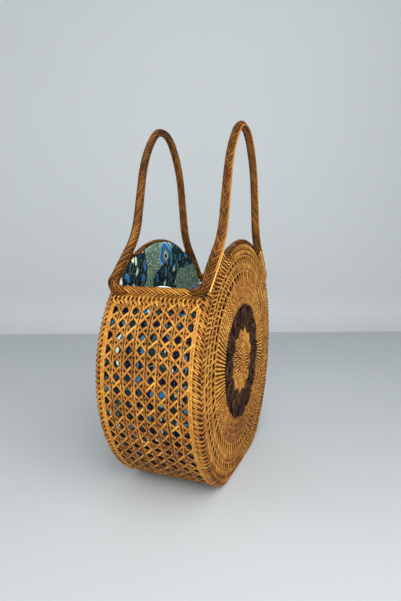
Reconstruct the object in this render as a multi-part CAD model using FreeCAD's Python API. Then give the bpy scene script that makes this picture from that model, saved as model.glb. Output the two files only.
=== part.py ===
import FreeCAD, Part
import os
from math import atan2, cos, degrees, pi, radians, sin, sqrt, tan

# Round hand-woven bag: two coiled discs, a cane side band with an open mouth, two plaited
# handle loops and a cotton lining. Millimetres and degrees. X runs across the discs, Y from the
# front disc to the back one, Z up, with the origin under the middle of the flat bottom.

# Bag body
face_radius = 150.0
bag_depth = 116.0
bottom_press = 15.0
corner_radius = 65.0
gusset_wall = 3.0

# Open cells of the side band's lattice, counted across and along it
cell_column_count = 8
cell_row_count = 46
cell_open_share = 0.6

# Face rings, from the middle outwards; the close-stitched ones are counted in rows of coil
face_wall = 4.0
star_rows = 5
petal_rows = 4
dense_rows = 4
row_groove = 0.8
stitch_step = 4.3
stitch_gap = 2.0
stitch_groove = 1.3
stitch_lean = 10.0
petal_count = 12
petal_gap = 3.0
inlay_gap = 0.1
inner_open_width = 12.0
divider_width = 9.0
outer_open_width = 9.0
edge_width = 19.0
edge_depth = 7.0
edge_round = 3.0
inner_hole_count = 72
outer_hole_count = 84
hole_width = 5.4
hole_margin = 1.6

# Mouth, seen as angles above the middle of the discs
mouth_angle = 37.5
border_angle = 5.5
mouth_lift = 1.0
shoulder_lift = 8.0

# Plaited rims and handles
braid_radius = 5.5
core_radius = 3.2
core_gap = 0.2
crown_radius = 3.5
crown_lap = 4.0
foot_rise = 19.0
shoulder_foot = 17.0
shoulder_bend = 45.0
handle_rise = 133.0
apex_radius = 38.0
apex_half_angle = 45.0
haunch_radius = 110.0
leg_lean = 12.5
seat_margin = 1.0
seat_gap = 0.3

# Lining
lining_wall = 1.0
lining_gap = 0.2
hem_wall = 1.6
hem_angle = 4.0

# Clearance that keeps touching curved pieces from cutting into each other
fit_gap = 0.1

# Places worked out from the sizes above
half_depth = bag_depth / 2
disc_z = face_radius - bottom_press
corner_x = sqrt(bottom_press * (2 * face_radius - bottom_press - 2 * corner_radius))
outer_open_edge = face_radius - edge_width
divider_edge = outer_open_edge - outer_open_width
inner_open_edge = divider_edge - divider_width
dense_edge = inner_open_edge - inner_open_width
coil_row = dense_edge / (star_rows + petal_rows + dense_rows)
star_radius = star_rows * coil_row
petal_length = petal_rows * coil_row
petal_ring = star_radius + petal_length
braid_y = half_depth - braid_radius
hinge_z = disc_z + face_radius + foot_rise
crown_edge = face_radius - 2 * crown_radius
handle_top = disc_z + face_radius + handle_rise
seat_radius = braid_radius + seat_margin
far = 3 * face_radius
lining_depth = edge_depth + lining_gap
band_half = half_depth - edge_depth
lining_half = half_depth - lining_depth - lining_wall - lining_gap

SIDES = {"front": -1, "back": 1}
HANDS = {"left": -1, "right": 1}
HALF_TURN = 180.0
QUARTER_TURN = 90.0
FULL_TURN = 360.0


def at(x, z, y=0.0):
    return FreeCAD.Vector(x, y, z)


def on_disc(radius, angle):
    return at(radius * cos(angle), disc_z + radius * sin(angle))


def circle_face(radius):
    edge = Part.makeCircle(radius, at(0, disc_z), FreeCAD.Vector(0, 1, 0))
    return Part.Face(Part.Wire(edge))


def outline_face(inset):
    # Disc outline pressed flat at the bottom, moved inwards by the inset
    radius = face_radius - inset
    corner = corner_radius - inset
    meet = atan2(corner_radius - disc_z, corner_x)
    middle = (meet - pi / 2) / 2

    def on_corner(sign):
        return at(sign * (corner_x + corner * cos(middle)), corner_radius + corner * sin(middle))

    right, left = on_disc(radius, meet), on_disc(radius, pi - meet)
    floor_left, floor_right = at(-corner_x, inset), at(corner_x, inset)
    edges = [
        Part.Arc(right, on_disc(radius, pi / 2), left),
        Part.Arc(left, on_corner(-1), floor_left),
        Part.LineSegment(floor_left, floor_right),
        Part.Arc(floor_right, on_corner(1), right),
    ]
    return Part.Face(Part.Wire([edge.toShape() for edge in edges]))


def slab(face, side, near, deep):
    # Thickens a flat outline between two depths below the outer side of one disc
    moved = face.copy()
    moved.translate(FreeCAD.Vector(0, side * (half_depth - near), 0))
    return moved.extrude(FreeCAD.Vector(0, -side * (deep - near), 0))


def across(face, half):
    # Thickens a flat outline evenly about the bag's middle plane
    moved = face.copy()
    moved.translate(FreeCAD.Vector(0, -half, 0))
    return moved.extrude(FreeCAD.Vector(0, 2 * half, 0))


def wedge(low, high):
    # Slice of pie about the disc's middle, through the whole depth, between two angles in degrees
    turns = [radians(low + (high - low) * share / 2) for share in range(3)]
    points = [at(0, disc_z)] + [on_disc(far, turn) for turn in turns]
    return across(Part.Face(Part.makePolygon(points + points[:1])), far)


def mouth_wedge(angle):
    return wedge(angle, HALF_TURN - angle)


def hand_wedge(hand, low, high):
    return wedge(low, high) if hand > 0 else wedge(HALF_TURN - high, HALF_TURN - low)


def on_arc(middle, radius, angle):
    # Point of an arc at an angle in degrees from straight up, towards the right
    return middle + at(radius * sin(radians(angle)), radius * cos(radians(angle)))


def haunch_middle():
    # The haunch's arc runs smoothly out of the handle's top arc
    return on_arc(at(0, handle_top - apex_radius), apex_radius - haunch_radius, apex_half_angle)


def leg_top():
    return on_arc(haunch_middle(), haunch_radius, QUARTER_TURN - leg_lean)


def on_leg(z):
    # Point of the straight right-hand leg at a height
    top = leg_top()
    return at(top.x + (top.z - z) * tan(radians(leg_lean)), z)


def mouth_corner():
    return on_disc(face_radius + shoulder_lift, radians(mouth_angle))


def shoulder_turn():
    # Where the lines of the rim and of the leg meet, beside the crown
    return on_leg(hinge_z - shoulder_foot)


def mirrored(point, hand, y):
    return at(hand * point.x, point.z, y)


def tube(points, radius):
    # Round bar along lines and arcs, given as end points with arc midpoints in between
    edges = []
    for start, middle, end in points:
        edge = Part.Arc(start, middle, end) if middle else Part.LineSegment(start, end)
        edges.append(edge.toShape())
    path = Part.Wire(edges)
    start, _, end = points[0]
    section = Part.Wire(Part.makeCircle(radius, start, end - start))
    return path.makePipeShell([section], True, False)


def shoulder_bar(side, hand, radius):
    # Rim from the mouth corner up to a little above the hinge, with one wide bend
    corner, bend, top = mouth_corner(), shoulder_turn(), on_leg(hinge_z + seat_radius)
    into = (bend - corner).normalize()
    out = (top - bend).normalize()
    half_turn = into.getAngle(out) / 2
    reach = shoulder_bend * tan(half_turn)
    start, end = bend - into * reach, bend + out * reach
    inward = (out - into).normalize()
    middle = bend + inward * (shoulder_bend / cos(half_turn) - shoulder_bend)
    y = side * braid_y
    route = [(corner, None, start), (start, middle, end), (end, None, top)]
    placed = [tuple(p and mirrored(p, hand, y) for p in step) for step in route]
    bar = tube(placed, radius)
    return bar.fuse(Part.makeSphere(radius, mirrored(corner, hand, y))).removeSplitter()


def handle_bar(side, radius):
    # Both legs, two haunches and the rounded top in one sweep
    centre = at(0, handle_top - apex_radius)
    shoulder = on_arc(centre, apex_radius, apex_half_angle)
    flank = on_arc(haunch_middle(), haunch_radius, (apex_half_angle + QUARTER_TURN - leg_lean) / 2)
    knee, foot = leg_top(), on_leg(hinge_z - seat_radius)
    y = side * braid_y

    def left(point):
        return mirrored(point, -1, y)

    def right(point):
        return mirrored(point, 1, y)

    steps = [
        (left(foot), None, left(knee)),
        (left(knee), left(flank), left(shoulder)),
        (left(shoulder), left(on_arc(centre, apex_radius, 0)), right(shoulder)),
        (right(shoulder), right(flank), right(knee)),
        (right(knee), None, right(foot)),
    ]
    return tube(steps, radius)


def hinge_cylinder(side, radius):
    start = at(-far, hinge_z, side * braid_y)
    return Part.makeCylinder(radius, 2 * far, start, FreeCAD.Vector(1, 0, 0))


def block(low, high):
    corner = at(-far, low, -far)
    return Part.makeBox(2 * far, 2 * far, high - low, corner)


def below_hinge(side):
    # What the fixed rim may not reach into, so that the foot can turn in its seat
    return block(hinge_z, hinge_z + far).fuse(hinge_cylinder(side, seat_radius + seat_gap))


def above_hinge(side):
    # What the moving foot may not reach into
    return block(hinge_z - far, hinge_z).cut(hinge_cylinder(side, seat_radius))


def crown_bar(side, radius):
    middle = at(0, disc_z, side * (half_depth - crown_radius))
    loop = Part.makeTorus(face_radius - crown_radius, radius, middle, FreeCAD.Vector(0, 1, 0))
    return loop.common(mouth_wedge(crown_angle()))


def crown_angle():
    # Where the crown binding runs into the shoulder, a little below the rim's bend
    bend = shoulder_turn()
    return degrees(atan2(bend.z - disc_z, bend.x)) - crown_lap


def rim_reach():
    # Farthest that the rim's middle line gets from the disc's middle below its bend
    return (shoulder_turn() - at(0, disc_z)).Length


def shoulder_wedge(hand):
    return hand_wedge(hand, mouth_angle, crown_angle())


def shoulder_filler(side, hand, rims):
    # Woven web between the disc's edge and the rim that rises beside it
    web = ring(side, crown_edge, rim_reach()).common(shoulder_wedge(hand))
    for rim in rims:
        web = web.cut(rim)
    return largest(web)


def mouth_bar(hand, radius, half):
    place = on_disc(face_radius + mouth_lift, radians(mouth_angle))
    start = mirrored(place, hand, -half)
    return Part.makeCylinder(radius, 2 * half, start, FreeCAD.Vector(0, 1, 0))


def petals(side, gap):
    # Ellipses side by side round the star, each with its own share of the turn
    middle = star_radius + petal_length / 2
    half_width = middle * sin(pi / petal_count) - petal_gap / 2 + gap
    half_length = petal_length / 2 + gap
    solids = []
    for index in range(petal_count):
        curve = Part.Ellipse(at(0, 0), max(half_length, half_width), min(half_length, half_width))
        flat = Part.Face(Part.Wire(curve.toShape()))
        flat.rotate(at(0, 0), FreeCAD.Vector(1, 0, 0), QUARTER_TURN)
        if half_width > half_length:
            flat.rotate(at(0, 0), FreeCAD.Vector(0, 1, 0), QUARTER_TURN)
        flat.translate(at(middle, disc_z))
        flat.rotate(at(0, disc_z), FreeCAD.Vector(0, 1, 0), FULL_TURN * index / petal_count)
        solids.append(slab(flat, side, 0, face_wall))
    return solids


def ring(side, inner, outer):
    rim = slab(circle_face(outer - fit_gap), side, 0, face_wall)
    return rim.cut(slab(circle_face(inner), side, 0, face_wall))


def coil_ring(side, first, last):
    # Ring of rounded rows of coil, turned about the disc's middle
    top, low, deep = (side * (half_depth - depth) for depth in (0, row_groove, face_wall))
    inner, outer = first * coil_row, last * coil_row - fit_gap
    row = (outer - inner) / (last - first)
    edges = []
    for index in range(last - first):
        start = inner + index * row
        ends = [at(start + share * row, disc_z, y) for share, y in ((0, low), (0.5, top), (1, low))]
        edges.append(Part.Arc(*ends))
    turns = [at(outer, disc_z, low), at(outer, disc_z, deep), at(inner, disc_z, deep), at(inner, disc_z, low)]
    edges += [Part.LineSegment(start, end) for start, end in zip(turns, turns[1:])]
    profile = Part.Face(Part.Wire([edge.toShape() for edge in edges]))
    return profile.revolve(at(0, disc_z), FreeCAD.Vector(0, 1, 0), FULL_TURN)


def stitched(coil, side, first, last):
    # Presses the gaps between neighbouring stitches into a coil, leaning as they are sewn
    inner, outer = first * coil_row, last * coil_row
    count = round(pi * (inner + outer) / stitch_step)
    start, end = at(inner - coil_row, disc_z), at(outer + coil_row, disc_z - stitch_lean)
    beside = at(0, stitch_gap)
    crest = FreeCAD.Vector(0, side * 2 * stitch_groove, 0)
    bottom = start + FreeCAD.Vector(0, side * (half_depth - stitch_groove), 0)
    corners = [bottom, bottom + crest + beside, bottom + crest - beside, bottom]
    groove = Part.Face(Part.makePolygon(corners)).extrude(end - start)
    grooves = []
    for index in range(count):
        turned = groove.copy()
        turned.rotate(at(0, disc_z), FreeCAD.Vector(0, 1, 0), FULL_TURN * index / count)
        grooves.append(turned)
    return coil.cut(Part.makeCompound(grooves))


def open_ring(side, inner, outer, count):
    # Flat ring with one row of holes between its posts
    height = outer - inner - 2 * hole_margin
    corner = at(-hole_width / 2, inner + hole_margin, -half_depth)
    hole = Part.makeBox(hole_width, bag_depth, height, corner)
    holes = []
    for index in range(count):
        turned = hole.copy()
        turned.rotate(at(0, 0), FreeCAD.Vector(0, 1, 0), FULL_TURN * index / count)
        turned.translate(at(0, disc_z))
        holes.append(turned)
    return ring(side, inner, outer).cut(Part.makeCompound(holes))


def band(inset, wall, half):
    return across(outline_face(inset), half).cut(across(outline_face(inset + wall), half))


def band_places(high, count):
    # Evenly spaced places round the bag's outline below an angle, each with its outward turn
    meet = degrees(atan2(corner_radius - disc_z, corner_x))
    side_run = face_radius * radians(high - meet)
    corner_run = corner_radius * radians(meet + QUARTER_TURN)
    half_run = side_run + corner_run + corner_x
    places = []
    for index in range(count):
        walked = half_run * (2 * index + 1) / count
        hand = 1 if walked < half_run else -1
        walked = min(walked, 2 * half_run - walked)
        if walked < side_run:
            turn = high - degrees(walked / face_radius)
            point = on_disc(face_radius, radians(turn))
        elif walked < side_run + corner_run:
            turn = meet - degrees((walked - side_run) / corner_radius)
            rise = corner_radius * sin(radians(turn))
            point = at(corner_x + corner_radius * cos(radians(turn)), corner_radius + rise)
        else:
            turn = -QUARTER_TURN
            point = at(half_run - walked, 0)
        places.append((mirrored(point, hand, 0), turn if hand > 0 else HALF_TURN - turn))
    return places, 2 * half_run / count


def open_cells(high):
    # Through-holes between the strands of the lattice, square to the band
    places, pitch = band_places(high, cell_row_count)
    step = 2 * band_half / cell_column_count
    wide, tall = cell_open_share * step, cell_open_share * pitch
    cells = []
    for point, turn in places:
        for column in range(cell_column_count):
            y = (column + 0.5) * step - band_half
            corner = at(-2 * gusset_wall, -tall / 2, y - wide / 2)
            cell = Part.makeBox(3 * gusset_wall, wide, tall, corner)
            cell.rotate(at(0, 0), FreeCAD.Vector(0, 1, 0), -turn)
            cell.translate(point)
            cells.append(cell)
    return Part.makeCompound(cells)


def edge_coil(side, rims):
    solid = slab(outline_face(0), side, 0, edge_depth)
    outer_y = side * half_depth
    outer_edges = [edge for edge in solid.Edges if abs(edge.CenterOfMass.y - outer_y) < fit_gap]
    rounded = solid.makeFillet(edge_round, outer_edges)
    ringed = rounded.cut(slab(circle_face(outer_open_edge), side, 0, edge_depth))
    coil = ringed.cut(mouth_wedge(mouth_angle))
    for rim in rims:
        coil = coil.cut(rim)
    return coil


def top_coil(side, rims):
    coil = ring(side, outer_open_edge, crown_edge).common(mouth_wedge(mouth_angle))
    for rim in rims:
        coil = coil.cut(rim)
    return coil


def lining_panel(side, rims):
    inset = gusset_wall + lining_gap
    panel = slab(outline_face(inset), side, lining_depth, lining_depth + lining_wall)
    cover = slab(circle_face(rim_reach()), side, lining_depth, lining_depth + lining_wall)
    for hand in HANDS.values():
        panel = panel.fuse(cover.common(shoulder_wedge(hand)))
    for piece in rims + [mouth_bar(hand, braid_radius + fit_gap, half_depth) for hand in HANDS.values()]:
        panel = panel.cut(piece)
    return panel


def largest(shape):
    return max(shape.Solids, key=lambda solid: solid.Volume)


def save(node, shape):
    if not shape.isValid():
        raise ValueError("bad solid: " + node)
    shape.exportStep("parts/" + node + ".step")


def build_face(name, side):
    rims = [shoulder_bar(side, hand, braid_radius + fit_gap) for hand in HANDS.values()]
    star = slab(circle_face(petal_ring - fit_gap), side, 0, face_wall)
    save(name + "_star_centre", star.cut(Part.makeCompound(petals(side, inlay_gap))))
    save(name + "_petals", Part.makeCompound(petals(side, 0)))
    field = star_rows + petal_rows
    dense = coil_ring(side, field, field + dense_rows)
    save(name + "_dense_coil", stitched(dense, side, field, field + dense_rows))
    save(name + "_inner_openwork", open_ring(side, dense_edge, inner_open_edge, inner_hole_count))
    save(name + "_divider_coil", ring(side, inner_open_edge, divider_edge))
    save(name + "_outer_openwork", open_ring(side, divider_edge, outer_open_edge, outer_hole_count))
    save(name + "_edge_coil", largest(edge_coil(side, rims)))
    save(name + "_top_coil", largest(top_coil(side, rims)))
    crown = crown_bar(side, crown_radius)
    for rim in rims:
        crown = crown.cut(rim)
    save(name + "_crown_binding", largest(crown))
    for hand_name, hand in HANDS.items():
        save(name + "_" + hand_name + "_shoulder_filler", shoulder_filler(side, hand, rims))
    save(name + "_lining", largest(lining_panel(side, rims)))


def build_rims(name, side):
    for hand_name, hand in HANDS.items():
        rim = shoulder_bar(side, hand, braid_radius).cut(below_hinge(side))
        bore = shoulder_bar(side, hand, core_radius + core_gap)
        save(name + "_" + hand_name + "_shoulder_braid", rim.cut(bore))
        core = shoulder_bar(side, hand, core_radius).cut(below_hinge(side))
        save(name + "_" + hand_name + "_shoulder_core", core)


def build_handle(name, side):
    bore = handle_bar(side, core_radius + core_gap)
    save(name + "_handle_braid", handle_bar(side, braid_radius).cut(above_hinge(side)).cut(bore))
    save(name + "_handle_core", handle_bar(side, core_radius).cut(above_hinge(side)))


def build_side_band():
    border_low = mouth_angle - border_angle
    lattice = band(0, gusset_wall, band_half)
    save("gusset_lattice", lattice.cut(mouth_wedge(border_low)).cut(open_cells(border_low)))
    lining = band(gusset_wall + lining_gap, lining_wall, lining_half)
    hem_inset = gusset_wall + 2 * lining_gap + lining_wall
    hem = band(hem_inset, hem_wall, lining_half)
    for hand in HANDS.values():
        lining = lining.cut(mouth_bar(hand, braid_radius + fit_gap, half_depth))
    save("gusset_lining", largest(lining.cut(mouth_wedge(mouth_angle))))
    for name, hand in HANDS.items():
        rims = [shoulder_bar(side, hand, braid_radius + fit_gap) for side in SIDES.values()]
        grown = mouth_bar(hand, braid_radius + fit_gap, half_depth)
        border = lattice.common(hand_wedge(hand, border_low, mouth_angle)).cut(grown)
        braid = mouth_bar(hand, braid_radius, band_half)
        core = mouth_bar(hand, core_radius, band_half)
        for rim in rims:
            border = border.cut(rim)
            braid = braid.cut(rim)
            core = core.cut(rim)
        save(name + "_gusset_border", largest(border))
        bore = mouth_bar(hand, core_radius + core_gap, band_half)
        save(name + "_mouth_braid", largest(braid.cut(bore)))
        save(name + "_mouth_core", largest(core))
        strip = hem.common(hand_wedge(hand, mouth_angle - hem_angle, mouth_angle)).cut(grown)
        save(name + "_lining_hem", largest(strip))


os.makedirs("parts", exist_ok=True)
for side_name, side_sign in SIDES.items():
    build_face(side_name, side_sign)
    build_rims(side_name, side_sign)
    build_handle(side_name, side_sign)
build_side_band()
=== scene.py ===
"""A round hand-woven bag: cane side band, coiled discs, plaited handles and a printed cotton lining."""

import random
from math import atan2, cos, hypot, pi, radians, sin, sqrt, tan

import bmesh
import bpy
import numpy as np
from bpy.props import FloatProperty, FloatVectorProperty, IntProperty, PointerProperty
from mathutils import Euler, Matrix, Vector, noise


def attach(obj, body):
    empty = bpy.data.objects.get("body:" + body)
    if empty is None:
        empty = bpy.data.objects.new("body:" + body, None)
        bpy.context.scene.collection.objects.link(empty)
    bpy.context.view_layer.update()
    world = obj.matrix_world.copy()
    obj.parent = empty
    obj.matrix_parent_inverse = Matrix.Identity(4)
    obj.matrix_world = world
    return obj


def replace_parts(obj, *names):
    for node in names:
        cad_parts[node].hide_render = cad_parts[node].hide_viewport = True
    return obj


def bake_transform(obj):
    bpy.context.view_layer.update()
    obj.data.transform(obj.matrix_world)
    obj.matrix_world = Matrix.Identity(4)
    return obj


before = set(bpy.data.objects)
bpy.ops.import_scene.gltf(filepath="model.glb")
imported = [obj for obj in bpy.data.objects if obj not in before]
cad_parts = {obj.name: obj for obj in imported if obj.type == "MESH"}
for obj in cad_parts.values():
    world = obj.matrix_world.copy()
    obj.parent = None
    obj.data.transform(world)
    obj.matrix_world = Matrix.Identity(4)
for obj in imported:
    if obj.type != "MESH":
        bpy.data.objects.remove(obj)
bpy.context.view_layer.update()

bl_info = {
    "name": "Round woven bag",
    "version": (1, 0, 0),
    "blender": (4, 5, 0),
    "location": "3D View > Sidebar > Bag",
    "description": "Dresses the frame of a round cane bag with its weave, plaits and lining",
    "category": "Object",
}

MM = 0.001

# The solid model's own sizes
FACE_RADIUS = 150 * MM
HALF_DEPTH = 58 * MM
BOTTOM_PRESS = 15 * MM
CORNER_RADIUS = 65 * MM
DISC_Z = FACE_RADIUS - BOTTOM_PRESS
CORNER_X = sqrt(BOTTOM_PRESS * (2 * FACE_RADIUS - BOTTOM_PRESS - 2 * CORNER_RADIUS))
CORNER_MEET = atan2(CORNER_RADIUS - DISC_Z, CORNER_X)
FACE_WALL = 4 * MM
EDGE_DEPTH = 7 * MM
BAND_HALF = HALF_DEPTH - EDGE_DEPTH
BAND_WALL = 3 * MM

# Rings of a disc, from the middle outwards
COIL_ROW = 101 * MM / 13
STAR_EDGE = 5 * COIL_ROW
PETAL_EDGE = 9 * COIL_ROW
DENSE_EDGE = 101 * MM
INNER_OPEN_EDGE = 113 * MM
DIVIDER_EDGE = 122 * MM
OUTER_OPEN_EDGE = 131 * MM
CROWN_EDGE = 143 * MM
PETALS = 12
STITCH_COUNT = 125
STITCH_LEAN = 10 * MM

# Mouth, shoulders and handles
MOUTH_ANGLE = radians(37.5)
BORDER_ANGLE = radians(32)
CROWN_ANGLE = radians(60.9)
BRAID_RADIUS = 5.5 * MM
BRAID_Y = HALF_DEPTH - BRAID_RADIUS
CROWN_RADIUS = 3.5 * MM
MOUTH_RIM = 151 * MM
RIM_CORNER = 158 * MM
RIM_Z = DISC_Z + RIM_CORNER * sin(MOUTH_ANGLE)
HINGE_Z = 304 * MM
SHOULDER_FOOT = 17 * MM
# The plait rounds the solid's bend a little wider
SHOULDER_BEND = 75 * MM
HANDLE_TOP = 418 * MM
APEX_RADIUS = 38 * MM
APEX_HALF = radians(45)
HAUNCH_RADIUS = 110 * MM
LEG_LEAN = radians(12.5)
HAUNCH_X = (APEX_RADIUS - HAUNCH_RADIUS) * sin(APEX_HALF)
HAUNCH_Z = HANDLE_TOP - APEX_RADIUS + (APEX_RADIUS - HAUNCH_RADIUS) * cos(APEX_HALF)

# Lining
LINING_INSET = 3.2 * MM
LINING_Y = 50.3 * MM
HEM_HEIGHT = 10 * MM
LINING_HALF = 49.6 * MM
LINING_WALL = 0.5 * MM

# Plates and cores under the stitches; their dark tone paints the shade in the gaps between the stitches
PLATE_DEPTH = 1.2 * MM
CORE_INSET = 1.3 * MM
CORE_SHADE_TONE = 0.1
GROUND_GRAIN = 8 * MM

# Unit strands: how far their ends drop and the share of the width left there
MOTIFS = {
    "straight cane": (0.0, 1.0),
    "pressed cane": (0.0, 0.6),
    "crossing cane": (1.45, 0.9),
    "wrap": (0.75, 0.7),
    "low wrap": (0.4, 0.85),
    "spike": (0.5, 0.4),
    "leaf": (0.5, 0.1),
    "post": (0.2, 0.85),
    "plait strand": (0.7, 0.3),
}

SIDES = {"front": -1, "back": 1}
HANDS = {"left": -1, "right": 1}
UP = Vector((0, 0, 1))
ACROSS = Vector((0, 1, 0))


def srgb(code):
    """Linear colour of an sRGB hex value."""
    parts = [int(code[i : i + 2], 16) / 255 for i in (1, 3, 5)]
    return tuple(c / 12.92 if c <= 0.04045 else ((c + 0.055) / 1.055) ** 2.4 for c in parts)


def length(name, description, size):
    return FloatProperty(name=name, description=description, default=size, unit="LENGTH", precision=5)


def colour(name, description, code):
    return FloatVectorProperty(
        name=name, description=description, default=srgb(code), subtype="COLOR", min=0, max=1
    )


class BagSizes(bpy.types.PropertyGroup):
    """Sizes of the strands and counts of the weave."""

    cell_columns: IntProperty(name="Cell columns", description="Open cells across the side band", default=8, min=2)
    cell_rows: IntProperty(name="Cell rows", description="Open cells along the side band", default=46, min=4)
    cane_width: length("Cane width", "Width of one split cane in the side band", 2.35 * MM)
    cane_height: length("Cane height", "Thickness of one split cane in the side band", 1.2 * MM)
    stitch_step: length("Stitch step", "Step from stitch to stitch along a coil", 4.3 * MM)
    stitch_width: length("Stitch width", "Width of one wrapping stitch on a disc", 2.6 * MM)
    stitch_height: length("Stitch height", "Thickness of one wrapping stitch", 2.4 * MM)
    edge_step: length("Edge step", "Step from loop to loop along the edges", 5.6 * MM)
    plait_pitch: length("Plait pitch", "Step from strand to strand along a plait", 5.4 * MM)
    plait_width: length("Plait strand width", "Width of one strand of a plait", 3.0 * MM)
    plait_slant: FloatProperty(
        name="Plait slant",
        description="Lean of the strands from the plait's line",
        default=radians(27),
        subtype="ANGLE",
    )


class BagColours(bpy.types.PropertyGroup):
    """Colours of the cane, the dyed strands, the cloth and the stage."""

    cane_light: colour("Cane, light", "Polished skin of the cane", "#e8b65e")
    cane_honey: colour("Cane, honey", "Most of the cane", "#bb832d")
    cane_brown: colour("Cane, brown", "Aged strands", "#7c4c17")
    # Painted shade: the darkest colour, taken by the plates and cores under the stitches
    cane_shade: colour("Cane, shade", "Cores between the stitches", "#1f0d04")
    cane_red: colour("Cane, red", "Reddish knots and stains", "#934515")
    dyed_dark: colour("Dyed, dark", "Dyed petals", "#21120c")
    dyed_brown: colour("Dyed, brown", "Most of the dyed strands", "#462918")
    dyed_light: colour("Dyed, worn", "Dyed petals where they are worn", "#7e5d42")
    print_ground: colour("Print ground", "Grey-green ground of the cloth", "#5c7868")
    print_navy: colour("Print navy", "Darkest colour of the print", "#0b1026")
    print_blue: colour("Print blue", "Bright colour of the print", "#1f6da6")
    print_teal: colour("Print teal", "Middle colour of the print", "#132b30")
    print_cream: colour("Print cream", "Pale lines and dots", "#ccd4b8")
    hem: colour("Hem", "Pale cotton tape", "#dfe6e6")
    floor: colour("Floor", "Pale table top", "#bfc4c6")
    wall: colour("Wall", "Pale backdrop", "#e4e9eb")


def polar(reach, angle, y=0.0):
    """Point of a disc at a distance and an angle from its middle."""
    return Vector((reach * cos(angle), y, DISC_Z + reach * sin(angle)))


def outline_reach(angle, inset=0.0):
    """Distance from the disc's middle to the outline, which is pressed flat at the bottom."""
    rise, run = sin(angle), abs(cos(angle))
    if atan2(rise, run) >= CORNER_MEET:
        return FACE_RADIUS - inset
    flat = (DISC_Z - inset) / -rise
    if flat * run <= CORNER_X:
        return flat
    drop = CORNER_RADIUS - DISC_Z
    towards = CORNER_X * run + drop * rise
    return towards + sqrt(towards**2 - CORNER_X**2 - drop**2 + (CORNER_RADIUS - inset) ** 2)


class Path:
    """A line of points to walk by distance, with a frame that turns along with it."""

    def __init__(self, points, out):
        self.points = np.array([tuple(p) for p in points])
        steps = np.linalg.norm(np.diff(self.points, axis=0), axis=1)
        self.walked = np.concatenate([[0.0], np.cumsum(steps)])
        self.length = float(self.walked[-1])
        ahead = np.gradient(self.points, axis=0)
        self.ahead = ahead / np.linalg.norm(ahead, axis=1)[:, None]
        self.out, last = [], np.array(tuple(out))
        for along in self.ahead:
            last = last - along * last.dot(along)
            last = last / np.linalg.norm(last)
            self.out.append(last)
        self.out = np.array(self.out)

    def frame(self, distance):
        """Point, direction, outward side and the side beside both."""
        rows = []
        for table in (self.points, self.ahead, self.out):
            rows.append(Vector([float(np.interp(distance, self.walked, table[:, k])) for k in range(3)]))
        point, ahead, out = rows[0], rows[1].normalized(), rows[2]
        over = ahead.cross(out).normalized()
        return point, ahead, over.cross(ahead), over


def mirrored(points, hand):
    """The same points on the left or the right half of the bag."""
    return [Vector((hand * p.x, p.y, p.z)) for p in points]


def value_at(value, place):
    """A number, or what a rule says at a place."""
    return value(place) if callable(value) else value


def arc(middle, radius, start, end, count=24):
    """Points of an arc in a disc's plane, with angles from straight up towards the right."""
    turns = [start + (end - start) * k / count for k in range(count + 1)]
    return [Vector((middle[0] + radius * sin(a), 0, middle[1] + radius * cos(a))) for a in turns]


def band_path(inset, high=MOUTH_ANGLE):
    """Round the bag's side, from the right of the mouth under the bottom to its left."""
    count = 420
    turns = [high - (2 * high + pi) * k / count for k in range(count + 1)]
    return Path([polar(outline_reach(a, inset), a) for a in turns], polar(1, high) - polar(0, 0))


def leg_point(z):
    """Point of the straight right-hand leg of a handle."""
    top_x, top_z = HAUNCH_X + HAUNCH_RADIUS * cos(LEG_LEAN), HAUNCH_Z + HAUNCH_RADIUS * sin(LEG_LEAN)
    return Vector((top_x + (top_z - z) * tan(LEG_LEAN), 0, z))


def shoulder_line():
    """Right-hand rim from the mouth corner to its bend and then up the leg, with one wide bend."""
    corner, bend, top = polar(RIM_CORNER, MOUTH_ANGLE), leg_point(HINGE_Z - SHOULDER_FOOT), leg_point(HINGE_Z)
    into, out = (bend - corner).normalized(), (top - bend).normalized()
    half = into.angle(out) / 2
    reach = SHOULDER_BEND * tan(half)
    inward = (out - into).normalized()
    middle = bend + inward * SHOULDER_BEND / cos(half)
    start, end = bend - into * reach, bend + out * reach
    a0, a1 = (atan2(p.x - middle.x, p.z - middle.z) for p in (start, end))
    return [corner] + arc((middle.x, middle.z), SHOULDER_BEND, a0, a1)


def handle_path(side):
    """From inside the left mouth rim round its corner, over the handle and into the right mouth rim."""
    flat = shoulder_line()
    flat += arc((HAUNCH_X, HAUNCH_Z), HAUNCH_RADIUS, pi / 2 - LEG_LEAN, APEX_HALF)
    flat += arc((0, HANDLE_TOP - APEX_RADIUS), APEX_RADIUS, APEX_HALF, 0)[1:]
    rise = [p + ACROSS * side * BRAID_Y for p in flat]
    # The rim turns its corner in one soft bend
    start = polar(MOUTH_RIM, MOUTH_ANGLE, side * (BRAID_Y - 15 * MM))
    eased = 0.28
    end = rise[0].lerp(rise[1], eased)
    hold = rise[0] * 1.4 - (start + end) * 0.2
    bend = [start.lerp(hold, t).lerp(hold.lerp(end, t), t) for t in (k / 12 for k in range(12))]
    right = bend + [rise[0].lerp(rise[1], eased + (1 - eased) * k / 8) for k in range(8)] + rise[1:]
    return Path(mirrored(right, -1) + right[-2::-1], UP)


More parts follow.
